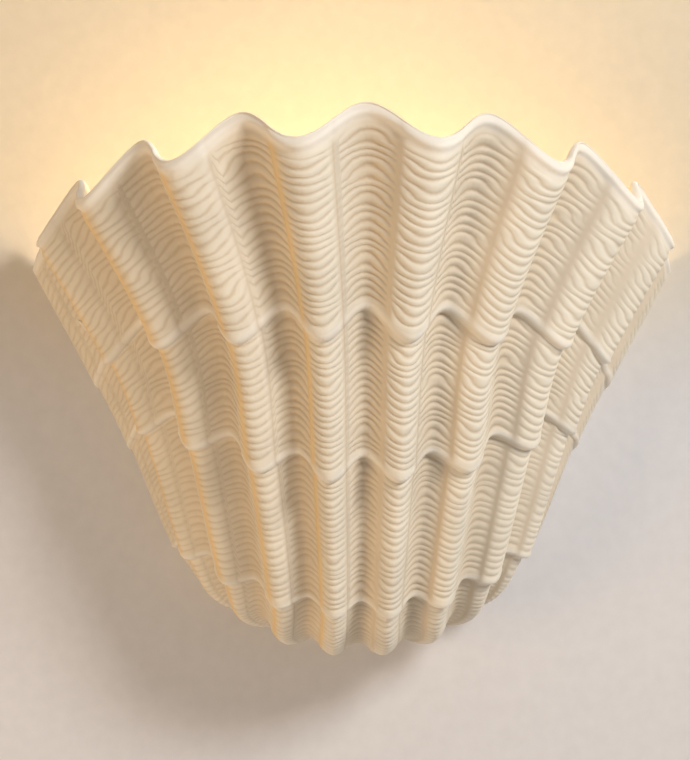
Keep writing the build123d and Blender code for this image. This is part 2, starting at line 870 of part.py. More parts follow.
wire_routes = (
    ("live_wire", live_route),
    ("neutral_wire", neutral_route),
    ("earth_wire", earth_route),
)
for name, route in wire_routes:
    radii = wire_radii(route)
    with BuildPart() as wire:
        with BuildLine() as path:
            line = FilletPolyline(*route, radius=radii)
        with BuildSketch(Plane(origin=line @ 0, z_dir=line % 0)):
            Circle(wire_radius)
        sweep()
    section_volume = pi * wire_radius**2 * line.length
    print(name, [round(radius, 1) for radius in radii], wire.part.volume / section_volume)
    wire.part.label = name
    export_step(wire.part, f"parts/{name}.step")
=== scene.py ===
import json
import bmesh
import bpy
import numpy as np
from math import cos, pi, radians, sin
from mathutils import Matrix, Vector


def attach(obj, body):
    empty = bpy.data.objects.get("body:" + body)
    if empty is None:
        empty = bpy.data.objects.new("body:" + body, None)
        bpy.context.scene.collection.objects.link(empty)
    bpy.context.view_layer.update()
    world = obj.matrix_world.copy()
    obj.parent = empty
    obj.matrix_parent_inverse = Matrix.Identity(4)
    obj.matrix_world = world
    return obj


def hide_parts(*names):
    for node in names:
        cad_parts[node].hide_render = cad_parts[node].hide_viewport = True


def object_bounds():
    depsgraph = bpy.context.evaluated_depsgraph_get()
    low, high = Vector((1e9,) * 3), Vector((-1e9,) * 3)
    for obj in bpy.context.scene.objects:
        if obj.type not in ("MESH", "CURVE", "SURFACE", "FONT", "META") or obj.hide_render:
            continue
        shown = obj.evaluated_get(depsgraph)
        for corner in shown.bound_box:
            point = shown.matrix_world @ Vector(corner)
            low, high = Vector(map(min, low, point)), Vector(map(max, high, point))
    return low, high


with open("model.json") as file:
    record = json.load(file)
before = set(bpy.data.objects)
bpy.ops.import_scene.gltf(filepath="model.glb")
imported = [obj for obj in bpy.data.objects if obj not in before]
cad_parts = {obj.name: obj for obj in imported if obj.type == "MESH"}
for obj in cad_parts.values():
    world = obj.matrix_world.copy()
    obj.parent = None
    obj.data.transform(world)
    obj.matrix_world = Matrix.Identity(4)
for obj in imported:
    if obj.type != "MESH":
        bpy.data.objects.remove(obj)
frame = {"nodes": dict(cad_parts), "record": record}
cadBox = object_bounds()
cadNodes = frame["nodes"]
print("frame loaded:", len(cadNodes), "nodes")

mm = 0.001


# small helpers for node trees
def addNode(tree, kind, settings=None, inputs=None):
    node = tree.nodes.new(kind)
    for name, value in (settings or {}).items():
        setattr(node, name, value)
    for name, value in (inputs or {}).items():
        if isinstance(value, bpy.types.NodeSocket):
            tree.links.new(value, node.inputs[name])
        else:
            node.inputs[name].default_value = value
    return node


def mathNode(tree, operation, first, second=0.0, third=0.0, clamp=False):
    settings = {"operation": operation, "use_clamp": clamp}
    return addNode(tree, "ShaderNodeMath", settings, {0: first, 1: second, 2: third}).outputs[0]


def vectorNode(tree, operation, inputs, output="Vector"):
    return addNode(tree, "ShaderNodeVectorMath", {"operation": operation}, inputs).outputs[output]


def mapRange(tree, value, low, high, toLow=0.0, toHigh=1.0, smooth=False):
    settings = {"interpolation_type": "SMOOTHSTEP" if smooth else "LINEAR"}
    inputs = dict(enumerate((value, low, high, toLow, toHigh)))
    return addNode(tree, "ShaderNodeMapRange", settings, inputs).outputs[0]


def mixColour(tree, factor, first, second, blend="MIX"):
    settings = {"data_type": "RGBA", "blend_type": blend}
    return addNode(tree, "ShaderNodeMix", settings, {0: factor, 6: first, 7: second}).outputs[2]


def greyTint(tree, colour, value):
    grey = addNode(tree, "ShaderNodeCombineColor", None, {0: value, 1: value, 2: value}).outputs[0]
    return mixColour(tree, 1.0, colour, grey, "MULTIPLY")


def noiseNode(tree, place, scale, detail, seed=None):
    inputs = {"Vector": place, "Scale": scale, "Detail": detail}
    if seed is None:
        return addNode(tree, "ShaderNodeTexNoise", None, inputs).outputs[0]
    return addNode(tree, "ShaderNodeTexNoise", {"noise_dimensions": "4D"}, {**inputs, "W": seed}).outputs[0]


def objectPlace(tree):
    return addNode(tree, "ShaderNodeTexCoord").outputs["Object"]


def alongAxis(tree, vector, axis):
    return addNode(tree, "ShaderNodeSeparateXYZ", None, {0: vector}).outputs[axis]


def openGroup(name, kind, inputs, outputs):
    group = bpy.data.node_groups.new(name, kind)
    for label, socketType, value in inputs:
        socket = group.interface.new_socket(label, in_out="INPUT", socket_type=socketType)
        if value is not None:
            socket.default_value = value
    for label, socketType in outputs:
        group.interface.new_socket(label, in_out="OUTPUT", socket_type=socketType)
    return group, group.nodes.new("NodeGroupInput"), group.nodes.new("NodeGroupOutput")


def useGroup(tree, group, **values):
    node = tree.nodes.new("ShaderNodeGroup")
    node.node_tree = group
    for name, value in values.items():
        node.inputs[name].default_value = value
    return node


def openMaterial(name):
    material = bpy.data.materials.new(name)
    material.use_nodes = True
    tree = material.node_tree
    return material, tree, tree.nodes["Principled BSDF"]


# small helpers for meshes
def newPiece(name, points, faces):
    mesh = bpy.data.meshes.new(name)
    mesh.from_pydata([tuple(point) for point in points], [], [tuple(face) for face in faces])
    mesh.validate()
    piece = bpy.data.objects.new(name, mesh)
    bpy.context.scene.collection.objects.link(piece)
    return piece


def faceOut(piece):
    builder = bmesh.new()
    builder.from_mesh(piece.data)
    bmesh.ops.recalc_face_normals(builder, faces=builder.faces)
    builder.to_mesh(piece.data)
    builder.free()


def fromTree(piece, tree, values):
    # runs a Geometry Nodes tree on a piece and keeps its result as a plain mesh
    modifier = piece.modifiers.new(tree.name, "NODES")
    modifier.node_group = tree
    for item in tree.interface.items_tree:
        if item.item_type == "SOCKET" and item.in_out == "INPUT" and item.name in values:
            modifier[item.identifier] = values[item.name]
    graph = bpy.context.evaluated_depsgraph_get()
    result = bpy.data.meshes.new_from_object(
        piece.evaluated_get(graph), preserve_all_data_layers=True, depsgraph=graph
    )
    piece.modifiers.remove(modifier)
    before = piece.data
    piece.data = result
    result.name = piece.name
    bpy.data.meshes.remove(before)
    return piece


def bell(value, width):
    return np.exp(-((value / width) ** 2))


def ramp(value, low, high):
    part = np.clip((value - low) / (high - low), 0, 1)
    return part * part * (3 - 2 * part)


def grownShare(least, part):
    # rises from its least share to the whole as part goes from 0 to 1
    return least + (1 - least) * part


# the camera, at the photograph's angle
cameraSet = {
    "distance": 1.7,
    "sideTurn": -2.8,  # degrees round the shell, towards its left
    "aim": (-0.0045, 0.0, 0.006),
    "lens": 142.9,
    "sensor": 36.0,
}
cameraData = bpy.data.cameras.new("mainCamera")
cameraData.lens = cameraSet["lens"]
cameraData.sensor_width = cameraSet["sensor"]
camera = bpy.data.objects.new("mainCamera", cameraData)
bpy.context.scene.collection.objects.link(camera)
turn = radians(cameraSet["sideTurn"])
aim = Vector(cameraSet["aim"])
camera.location = aim + cameraSet["distance"] * Vector((sin(turn), -cos(turn), 0))
camera.rotation_mode = "QUATERNION"
camera.rotation_quaternion = (aim - camera.location).to_track_quat("-Z", "Y")
bpy.context.scene.camera = camera
print("camera placed")

# the shell, in millimetres. Levels count its growth lines, from 0 at the heel to 5 at the rim.
# Flutes run from -4.5 at its left edge to 4.5 at its right, with a groove at each whole number.
shellForm = {
    "fixingHeight": 150.0,
    "halfWidths": (14.0, 72.0, 98.0, 123.0, 141.0, 177.5),
    "projections": (10.0, 55.0, 88.0, 116.0, 131.0, 150.0),
    "sideHeights": (26.0, 36.0, 63.0, 119.0, 154.0, 220.5),
    "frontHeights": (24.0, 9.0, 33.5, 108.5, 184.0, 287.5),
    "shoulders": (0.0, 5.0, 11.0, 18.0, 8.0, 0.0),
    "shoulderPeak": 0.65,
    "fluteAngles": (21.5, 21.5, 16.5, 16.5, 17.5, 23.0),
    "fluteRises": (0.0, 1.0, 2.6, 5.2, 7.1, 7.4),
    "rimLevel": 5,
    "endFlute": 4.5,
    "rimFluteDepth": 9.0,
    "depthTaper": 1.3,
    "sideLoss": 0.7,
    "sideFade": 4.5,
    "sideFit": 0.999,
    "sideCrowding": 2.5,
    "innerShare": 0.75,  # how much of the flutes shows on the inside
    "wall": 7.0,
    # ledges and rim
    "ledgeStep": 3.2,
    "ledgeSideLoss": 0.65,
    "ledgeSideFade": 6.0,
    "ledgeLip": 0.07,  # in levels, as the rises and reaches of the two swells are
    "rimLip": 0.03,
    "lipSwell": 1.1,
    "lipSwellRise": 0.035,
    "lipSwellReach": 0.028,
    "lipProud": 0.2,  # millimetres
    "rimSwell": 1.5,
    "rimSwellLevel": 4.985,
    "rimSwellReach": 0.022,
    "rimSwellSink": 0.95,
    "rimSwellStart": (4.9, 4.96),
    "rimSwellInside": -2.0,  # millimetres
    # the flanks of each rib, and the seam cut along its right one; places and reaches in flutes
    "flankPlace": 0.25,
    "flankStep": 2.4,  # how far the left flank of a rib stands up from its groove
    "flankReach": 0.085,
    "flankSharpness": 0.016,
    "farFlankStep": 1.1,
    "farFlankReach": 0.08,
    "farFlankLoss": 0.7,
    "heelFlank": 0.35,
    "seamPlace": 0.735,
    "seamDepth": 1.1,
    "seamReach": 0.011,
    "seamLoss": 0.65,
    "heelSeam": 0.45,
    "leftTurn": (0.5, 2.5),
    "reliefStart": (0.3, 1.2),
    "reliefEnd": (4.93, 5.0),
    "reliefEndLoss": 0.6,
    "edgeBlend": 0.12,
    # the smooth strip along each left flank
    "stripShift": 0.19,
    "stripTurn": (0.2, 2.6),
    "stripClear": 0.04,
    # ripples
    "ripplePitches": (3.3, 3.4, 3.7, 3.8, 4.3, 5.0),
    "pitchSpread": (0.94, 1.08),
    "rippleBend": 0.08,  # how much a ripple curls at the ends of its band, in ripples
    "levelStep": 0.05,
    "seed": 11,
    "combStart": (0.2, 0.5),
    "combEnd": (4.90, 4.94),
    "combOverLip": (0.8, 1.25),  # in heights of the lip
    "seamClearPlaces": (0.712, 0.735),
    "seamClear": 0.016,
    "seamClearLoss": 0.6,
    "edgeClear": (0.03, 0.12),
    "heelCombing": 0.62,
    "sideCombingLoss": 0.38,
    # rows of points
    "heelRows": 24,
    "bellyRows": 46,
    "ledgeRows": {2: 84, 3: 86, 4: 106},
    "lipRows": (0.0, 0.16, 0.34, 0.54, 0.76),
    "rimTurns": (0, 15, 32, 50, 70, 90, 110, 130, 148, 165),
    "insideRows": 24,
}
rippleForm = {
    "Ripple Depth": 0.00125,
    "Ripple Roundness": 1.0,
    "Wander": 0.5,
    "Wander Size": 105.0,
    "Unevenness": 0.5,
    "Unevenness Size": 130.0,
    "Seed": 3.0,
}


def grown(values, level):
    # a smooth curve through one value for each level
    values = np.asarray(values)
    start = np.minimum(np.trunc(level).astype(int), len(values) - 2)
    part = level - start
    near, far = values[start], values[start + 1]
    before = np.where(start > 0, values[np.maximum(start - 1, 0)], 2 * near - far)
    after = np.where(start + 2 < len(values), values[np.minimum(start + 2, len(values) - 1)], 2 * far - near)
    nearSlope, farSlope = (far - before) / 2, (after - near) / 2
    risen = near * (2 * part**3 - 3 * part**2 + 1) + nearSlope * (part**3 - 2 * part**2 + part)
    return risen + far * (3 * part**2 - 2 * part**3) + farSlope * (part**3 - part**2)


def bowlPoint(flute, level):
    # a point of the bowl without its flutes
    form = shellForm
    end = form["endFlute"]
    step = grown(form["fluteAngles"], level)
    crowd = flute / end * np.abs(flute / end) ** (form["sideCrowding"] - 1)
    angle = np.radians(step * flute + (90 - end * step) * crowd)
    side, front = grown(form["sideHeights"], level), grown(form["frontHeights"], level)
    shoulder = np.sin(angle) ** 2 * np.abs(np.sin(2 * angle)) / form["shoulderPeak"]
    height = side + (front - side) * np.cos(angle) + grown(form["shoulders"], level) * shoulder
    halfWidth, projection = grown(form["halfWidths"], level), grown(form["projections"], level)
    x, y = halfWidth * np.sin(angle), -projection * np.cos(angle)
    place = np.stack((x, y, height - form["fixingHeight"]), -1)
    return place, angle, halfWidth, projection


def shellPoint(flute, level, proud, share):
    # a point of the fluted surface, the direction that points out of it, its wave and how wide it has grown
    form = shellForm
    place, angle, halfWidth, projection = bowlPoint(flute, level)
    nearby = 0.02
    low, high = bowlPoint(flute, level - nearby)[0], bowlPoint(flute, level + nearby)[0]
    reach = np.hypot(high[..., 0], high[..., 1]) - np.hypot(low[..., 0], low[..., 1])
    lean = np.arctan2(reach, high[..., 2] - low[..., 2])
    across, forward = np.sin(angle) / halfWidth, -np.cos(angle) / projection
    size = np.hypot(across, forward)
    outward = np.stack((across / size * np.cos(lean), forward / size * np.cos(lean), -np.sin(lean)), -1)
    sideLoss = form["sideLoss"] * np.abs(flute / form["endFlute"]) ** form["sideFade"]
    wave = -np.cos(2 * pi * flute) * (1 - sideLoss)
    narrowing = (halfWidth / form["halfWidths"][-1]) ** form["depthTaper"]
    out = form["rimFluteDepth"] * narrowing * wave * share + proud
    place = place + outward * out[..., None]
    place[..., 2] -= grown(form["fluteRises"], level) * wave
    place[..., 0] *= form["sideFit"]
    return place, outward, wave, narrowing


def shellRows():
    # each row is level, proud, share of the flutes, how fully it is combed, and whether it is on the outside
    form = shellForm
    lip, step, wall, rim = form["ledgeLip"], form["ledgeStep"], form["wall"], form["rimLevel"]
    rows = []
    for level in np.linspace(0, 1, form["heelRows"], endpoint=False):
        rows.append((level, 0.0, 1.0, ramp(level, *form["combStart"]), 1))
    for level in np.linspace(1, 2, form["bellyRows"], endpoint=False):
        rows.append((level, 0.0, 1.0, 1.0, 1))
    for ledge, count in form["ledgeRows"].items():
        for part in form["lipRows"]:
            turned = part * pi / 2
            rows.append((ledge + lip * (1 - cos(turned)), step * sin(turned), 1.0, 0.0, 1))
        below, above = (ledge + lip * part for part in form["combOverLip"])
        for level in np.linspace(ledge + lip, ledge + 1, count, endpoint=False):
            proud = step * (ledge + 1 - level) / (1 - lip)
            combed = ramp(level, below, above) * (1 - ramp(level, *form["combEnd"]))
            rows.append((level, proud, 1.0, combed, 1))
    for turned in np.radians(form["rimTurns"]):
        share = 1 + (form["innerShare"] - 1) * (1 - cos(turned)) / 2
        rows.append((rim + form["rimLip"] * sin(turned), -wall / 2 * (1 - cos(turned)), share, 0.0, 1))
    for level in np.linspace(rim, 0, form["insideRows"]):
        rows.append((level, -wall, form["innerShare"], 0.0, 0))
    return np.array(rows)


def shellColumns():
    # columns stand closer at the two flanks of each rib
    parts = (0, 0.045, 0.09, 0.135, 0.18, 0.215, 0.238, 0.25, 0.262, 0.29, 0.33, 0.375, 0.42)
    parts += (0.46, 0.5, 0.54, 0.58, 0.625, 0.67, 0.7, 0.722, 0.735, 0.748, 0.78, 0.83, 0.885, 0.945)
    end = shellForm["endFlute"]
    spots = [whole + part for whole in range(-5, 5) for part in parts if -end <= whole + part <= end]
    return np.array(sorted(set(spots)))


def stripPlace(flute):
    # the smooth strip lies further over the rib where the rib turns away from the room
    return shellForm["flankPlace"] + shellForm["stripShift"] * ramp(-flute, *shellForm["stripTurn"])


def leftTurn(flute):
    # 0 in the middle and on the right, rising to 1 round the left side
    return ramp(-flute, *shellForm["leftTurn"])


def combing(flute, level):
    # the ripple count along each band, and its fade at the flanks
    form = shellForm
    band = np.floor(2 * flute + 0.5)
    across = (flute - band / 2) / 0.25
    rib = np.mod(band, 2) == 1
    lines = np.arange(0, form["rimLevel"] + 0.001, form["levelStep"])
    lastBand = round(2 * form["endFlute"])
    bands = np.arange(-lastBand, lastBand + 1)
    bandFlute, bandLevel = np.meshgrid(bands / 2.0, lines, indexing="ij")
    middle = shellPoint(bandFlute, bandLevel, np.zeros_like(bandFlute), 1.0)[0]
    between = (lines[1:] + lines[:-1]) / 2
    pitch = np.interp(between, np.arange(len(form["ripplePitches"])), form["ripplePitches"])
    steps = np.linalg.norm(np.diff(middle, axis=1), axis=2) / pitch
    counts = np.concatenate((np.zeros((len(bands), 1)), np.cumsum(steps, axis=1)), axis=1)
    chance = np.random.default_rng(form["seed"])
    stretch = chance.uniform(*form["pitchSpread"], (len(bands), 1))
    counts = counts * stretch + chance.uniform(0, 1, (len(bands), 1))
    phase = np.zeros_like(flute)
    for number, own in zip(bands, counts):
        here = band == number
        phase[here] = np.interp(level[here], lines, own)
    phase += np.where(rib, -1, 1) * form["rippleBend"] * across**2
    part = flute - np.floor(flute)
    seams = np.maximum(*(bell(part - place, form["seamClear"]) for place in form["seamClearPlaces"]))
    seams = seams * (1 - form["seamClearLoss"] * leftTurn(flute))
    fade = 1 - np.maximum(bell(part - stripPlace(flute), form["stripClear"]), seams)
    fade *= ramp(form["endFlute"] - np.abs(flute), *form["edgeClear"])
    return phase, np.clip(fade, 0, 1)


def seamShare(flute):
    return 1 - shellForm["seamLoss"] * leftTurn(flute)


def shellRelief(flute, level, proud, narrowing):
    # what stands out of the plain flutes: rib flanks, seams, and the swell of the lips and the rim
    form = shellForm
    part = flute - np.floor(flute)
    side, far = part - form["flankPlace"], part - form["seamPlace"]
    sharp = form["flankSharpness"]
    relief = form["flankStep"] * np.tanh(side / sharp) * 0.5 * bell(side, form["flankReach"])
    farFlank = form["farFlankStep"] * np.tanh(far / sharp) * 0.5 * bell(far, form["farFlankReach"])
    relief -= farFlank * (1 - form["farFlankLoss"] * leftTurn(flute))
    relief *= grownShare(form["heelFlank"], narrowing)
    seam = form["seamDepth"] * bell(far, form["seamReach"])
    relief -= seam * grownShare(form["heelSeam"], narrowing) * seamShare(flute)
    relief *= ramp(level, *form["reliefStart"])
    relief *= 1 - form["reliefEndLoss"] * ramp(level, *form["reliefEnd"])
    for ledge in form["ledgeRows"]:
        swell = bell(level - ledge - form["lipSwellRise"], form["lipSwellReach"])
        relief += form["lipSwell"] * swell * (proud > form["lipProud"])
    swell = bell(level - form["rimSwellLevel"], form["rimSwellReach"]) - form["rimSwellSink"]
    swell = swell * ramp(level, *form["rimSwellStart"])
    return relief + form["rimSwell"] * swell * (proud > form["rimSwellInside"])


# the two lugs inside the rim and the boss under the heel, in millimetres
lugForm = {
    "levels": (4.1, 4.6),
    "bite": 0.8,
    "innerEdge": 112.0,
    "back": -4.5,
    "depth": 13.0,
    "draft": 20.0,
    "edgeRound": 1.2,
    "drawnIn": 1.2,  # how many insets each point moves towards the middle
    "sidePoints": 6,
    "rings": (0.0, 0.3, 0.6, 0.8, 0.9, 0.96, 1.0),
    "bossRadii": (15.3, 18.1),
    "bossHeight": 7.7,
    "bossLift": 4.0,
    "bossRings": ((0.0, 1.2), (0.05, 0.3), (0.15, 0.0), (0.5, 0.0), (1.0, 0.0)),  # height share, rounding
    "bossPoints": 33,
}


def lugRings(side):
    # a drafted block with rounded front edges: rings of corners drawn in towards its middle
    form, lug = shellForm, lugForm
    low, high = (
        shellPoint(np.array(side * form["endFlute"]), np.array(level), lug["bite"] - form["wall"], 1.0)[0]
        for level in lug["levels"]
    )
    inner = side * lug["innerEdge"]
    edge = np.array([(inner, low[2]), (low[0], low[2]), (high[0], high[2]), (inner, high[2])])
    corners = []
    for here, after in zip(edge, np.roll(edge, -1, axis=0)):
        for part in np.linspace(0, 1, lug["sidePoints"], endpoint=False):
            corners.append(here + (after - here) * part)
    corners = np.array(corners)[::side]
    middle = np.mean(corners, axis=0)
    reach = np.linalg.norm(corners - middle, axis=1, keepdims=True)
    roundStart, roundReach = 0.9, 0.1
    rings = []
    for part in lug["rings"]:
        close = max(0.0, (part - roundStart) / roundReach)
        inset = lug["depth"] * part * np.tan(np.radians(lug["draft"]))
        inset += lug["edgeRound"] * (1 - np.sqrt(max(0.0, 1 - close**2)))
        drawn = middle + (corners - middle) * (1 - inset / reach * lug["drawnIn"])
        rings.append([(x, lug["back"] - lug["depth"] * part, z) for x, z in drawn])
    return rings


def bossRings():
    # half rings against the wall, rounded at the bottom
    lug = lugForm
    heel = float(shellPoint(np.array(0.0), np.array(0.0), 0.0, 1.0)[0][2])
    bottom = heel + lug["bossLift"] - lug["bossHeight"] / 2
    lowRadius, highRadius = lug["bossRadii"]
    rings = []
    for part, rounding in lug["bossRings"]:
        radius = lowRadius + (highRadius - lowRadius) * part - rounding
        height = bottom + lug["bossHeight"] * part
        angles = np.linspace(pi, 2 * pi, lug["bossPoints"])
        rings.append([(radius * cos(angle), min(0.0, radius * sin(angle)), height) for angle in angles])
    return rings


def ringFaces(rings, first):
    count = len(rings[0])
    faces = []
    for ring in range(len(rings) - 1):
        for corner in range(count):
            a, b = first + ring * count + corner, first + ring * count + (corner + 1) % count
            faces.append((a, b, b + count, a + count))
    faces.append([first + corner for corner in reversed(range(count))])
    faces.append([first + (len(rings) - 1) * count + corner for corner in range(count)])
    return faces


def castingExtras(first):
    # lugs and boss are closed bodies that sink into the shell's wall
    points, faces = [], []
    for rings in (lugRings(-1), lugRings(1), bossRings()):
        faces += ringFaces(rings, first + len(points))
        points += [point for ring in rings for point in ring]
    return np.array(points), faces


def shellFaces(height, width):
    faces = []
    for row in range(height - 1):
        for column in range(width - 1):
            corner = row * width + column
            faces.append((corner, corner + 1, corner + width + 1, corner + width))
    last = (height - 1) * width
    for column in range(width - 1):  # closes the heel from the inside round to the outside
        faces.append((last + column, last + column + 1, column + 1, column))
    curved = len(faces)
    faces.append([row * width for row in range(height)])
    faces.append([row * width + width - 1 for row in reversed(range(height))])
    return faces, curved


def storeValues(mesh, name, values):
    # lugs and boss come after the shell's own points, and keep zero
    kind, field, size = ("FLOAT_VECTOR", "vector", 3) if values.ndim == 3 else ("FLOAT", "value", 1)
    filled = np.zeros(len(mesh.vertices) * size, np.float32)
    filled[: values.size] = values.reshape(-1)
    mesh.attributes.new(name, kind, "POINT").data.foreach_set(field, filled)


# where painted light and shade lie over the shell: reaches in flutes, heights in levels
lightAndShadeForm = {
    "lowFade": (0.6, 1.5),
    "stripReach": 0.05,
    "stripReachGain": 0.03,
    "stripLightToShade": (-0.9, 0.6),
    "seamReach": 0.013,
    "seamShadeEnd": (4.9, 4.95),
    "lipHighlightRise": 0.03,
    "lipHighlightReach": 0.03,
    "rimHighlightStart": (4.93, 4.97),
}


def paintedLightAndShade(flute, level, outside, edge):
    form, mark = shellForm, lightAndShadeForm
    part = flute - np.floor(flute)
    edgeFade = outside * ramp(level, *mark["lowFade"]) * edge
    stripReach = mark["stripReach"] + mark["stripReachGain"] * ramp(-flute, *form["stripTurn"])
    # the strip is painted warm lamplight on the left, above zero, and painted shade on the right, below zero
    stripLighting = 1 - 2 * ramp(flute, *mark["stripLightToShade"])
    strip = bell(part - stripPlace(flute), stripReach) * stripLighting * edgeFade
    # painted shade along the seam cut on each rib's right flank, weaker round the left side
    seam = bell(part - form["seamPlace"], mark["seamReach"]) * seamShare(flute)
    seam = seam * (1 - ramp(level, *mark["seamShadeEnd"])) * edgeFade
    # painted highlight just above each ledge lip, and over the rim
    lips = sum(bell(level - ledge - mark["lipHighlightRise"], mark["lipHighlightReach"]) for ledge in form["ledgeRows"])
    lips = np.clip(lips + ramp(level, *mark["rimHighlightStart"]), 0, 1) * outside
    return {"strip": strip, "seam": seam, "lip": lips}


def makeShell():
    form = shellForm
    end, rim = form["endFlute"], form["rimLevel"]
    rows, columns = shellRows(), shellColumns()
    level, flute = np.meshgrid(rows[:, 0], columns, indexing="ij")
    proud, share, combed, outside = (np.repeat(rows[:, [n]], len(columns), axis=1) for n in (1, 2, 3, 4))
    sideLoss = form["ledgeSideLoss"] * np.abs(flute / end) ** form["ledgeSideFade"]
    proud *= np.where(outside * (proud > 0), 1 - sideLoss, 1)
    place, outward, wave, narrowing = shellPoint(flute, level, proud, share)
    edge = ramp(end - np.abs(flute), 0.0, form["edgeBlend"])
    relief = shellRelief(flute, level, proud, narrowing) * outside * edge
    place = place + outward * relief[..., None]
    place[..., 2] = np.maximum(place[..., 2], cadBox[0][2] / mm)
    phase, fade = combing(flute, np.clip(level, 0, rim))
    # the combing is shallower low on the shell and towards its sides
    fade *= combed * outside * grownShare(form["heelCombing"], level / rim)
    fade *= 1 - form["sideCombingLoss"] * np.abs(flute / end)
    faces, curved = shellFaces(*level.shape)
    extraPoints, extraFaces = castingExtras(level.size)
    points = np.concatenate((place.reshape(-1, 3), extraPoints)) * mm
    piece = newPiece("shellCasting", points, faces + extraFaces)
    mesh = piece.data
    mesh.polygons.foreach_set("use_smooth", [index < curved for index in range(len(mesh.polygons))])
    # the groove hollows carry painted shade, from 0 on the rib crests to 1 on the groove floors
    marks = {"combPhase": phase, "combFade": fade, "hollow": (1 - wave) / 2 * outside}
    marks.update(paintedLightAndShade(flute, level, outside, edge))
    marks["outward"] = outward
    for name, values in marks.items():
        storeValues(mesh, name, values)
    faceOut(piece)
    return piece


def namedValue(tree, name, kind="FLOAT"):
    node = addNode(tree, "GeometryNodeInputNamedAttribute", {"data_type": kind}, {"Name": name})
    return node.outputs["Attribute"]


def makeRippleTree():
    # combs curved ripples into a surface along its own phase, fade and outward direction
    stretch = (0.2, 0.2, 1.0)  # along the ripples, so that they change from row to row and stay smooth across
    wanderRipples = 4.0
    nextSeed = 7.0
    inputs = [("Geometry", "NodeSocketGeometry", None)]
    inputs += [(name, "NodeSocketFloat", value) for name, value in rippleForm.items()]
    inputs += [("Finish", "NodeSocketMaterial", None)]
    tree, given, result = openGroup(
        "combedRipples", "GeometryNodeTree", inputs, [("Geometry", "NodeSocketGeometry")]
    )
    size = given.outputs
    place = addNode(tree, "GeometryNodeInputPosition").outputs[0]
    drawn = vectorNode(tree, "MULTIPLY", {0: place, 1: stretch})
    wander = noiseNode(tree, drawn, size["Wander Size"], 0.5, size["Seed"])
    otherSeed = mathNode(tree, "ADD", size["Seed"], nextSeed)
    uneven = noiseNode(tree, place, size["Unevenness Size"], 2.0, otherSeed)
    shift = mathNode(tree, "MULTIPLY", mathNode(tree, "SUBTRACT", wander, 0.5), size["Wander"])
    shift = mathNode(tree, "MULTIPLY", shift, wanderRipples)
    phase = mathNode(tree, "ADD", namedValue(tree, "combPhase"), shift)
    crest = mathNode(tree, "ABSOLUTE", mathNode(tree, "SINE", mathNode(tree, "MULTIPLY", phase, pi)))
    crest = mathNode(tree, "POWER", crest, size["Ripple Roundness"])
    share = mathNode(tree, "MULTIPLY_ADD", mathNode(tree, "SUBTRACT", uneven, 0.5), size["Unevenness"], 1.0)
    depth = mathNode(tree, "MULTIPLY", size["Ripple Depth"], share)
    depth = mathNode(tree, "MULTIPLY", depth, namedValue(tree, "combFade"))
    cut = mathNode(tree, "MULTIPLY", depth, mathNode(tree, "SUBTRACT", crest, 1.0))
    offset = vectorNode(tree, "SCALE", {0: namedValue(tree, "outward", "FLOAT_VECTOR"), "Scale": cut})
    moved = addNode(
        tree, "GeometryNodeSetPosition", None, {"Geometry": size["Geometry"], "Offset": offset}
    )
    stored = addNode(
        tree,
        "GeometryNodeStoreNamedAttribute",
        {"data_type": "FLOAT", "domain": "POINT"},
        {"Geometry": moved.outputs[0], "Name": "combLine", "Value": phase},
    )
    real = addNode(tree, "GeometryNodeRealizeInstances", None, {0: stored.outputs[0]})
    finish = addNode(
        tree, "GeometryNodeSetMaterial", None, {"Geometry": real.outputs[0], "Material": size["Finish"]}
    )
    tree.links.new(finish.outputs[0], result.inputs[0])
    return tree


# surface effects that more than one finish uses
def makeGrainGroup():
    # fine and broad mottling
    broadShare = 0.03
    group, given, result = openGroup(
        "fineGrain",
        "ShaderNodeTree",
        [("Scale", "NodeSocketFloat", 900.0), ("Contrast", "NodeSocketFloat", 1.0)],
        [("Grain", "NodeSocketFloat"), ("Broad", "NodeSocketFloat")],
    )
    place = objectPlace(group)
    fine = noiseNode(group, place, given.outputs["Scale"], 4.0)
    broad = noiseNode(group, place, mathNode(group, "MULTIPLY", given.outputs["Scale"], broadShare), 3.0)
    for value, label in ((fine, "Grain"), (broad, "Broad")):
        middled = mathNode(group, "SUBTRACT", value, 0.5)
        spread = mathNode(group, "MULTIPLY_ADD", middled, given.outputs["Contrast"], 0.5)
        group.links.new(spread, result.inputs[label])
    return group


def makeWearGroup():
    # where edges are: the rounded normal turns away from the true one
    group, given, result = openGroup(
        "edgeWear",
        "ShaderNodeTree",
        [
            ("Width", "NodeSocketFloat", 0.0004),
            ("Amount", "NodeSocketFloat", 1.0),
            ("Patch Size", "NodeSocketFloat", 300.0),
        ],
        [("Mask", "NodeSocketFloat")],
    )
    rounded = addNode(group, "ShaderNodeBevel", {"samples": 4}, {"Radius": given.outputs["Width"]}).outputs[0]
    sharp = addNode(group, "ShaderNodeNewGeometry").outputs["Normal"]
    turned = vectorNode(group, "DOT_PRODUCT", {0: rounded, 1: sharp}, "Value")
    edge = mapRange(group, turned, 0.98, 0.80)
    patches = noiseNode(group, objectPlace(group), given.outputs["Patch Size"], 3.0)
    worn = mathNode(group, "MULTIPLY", edge, mapRange(group, patches, 0.35, 0.6))
    mask = mathNode(group, "MULTIPLY", worn, given.outputs["Amount"], clamp=True)
    group.links.new(mask, result.inputs["Mask"])
    return group


def makeBrushGroup():
    # fine lines drawn out along one direction
    group, given, result = openGroup(
        "brushedLines",
        "ShaderNodeTree",
        [("Stretch", "NodeSocketVector", (1.0, 1.0, 0.04)), ("Scale", "NodeSocketFloat", 2600.0)],
        [("Lines", "NodeSocketFloat")],
    )
    drawn = vectorNode(group, "MULTIPLY", {0: objectPlace(group), 1: given.outputs["Stretch"]})
    group.links.new(noiseNode(group, drawn, given.outputs["Scale"], 3.0), result.inputs["Lines"])
    return group


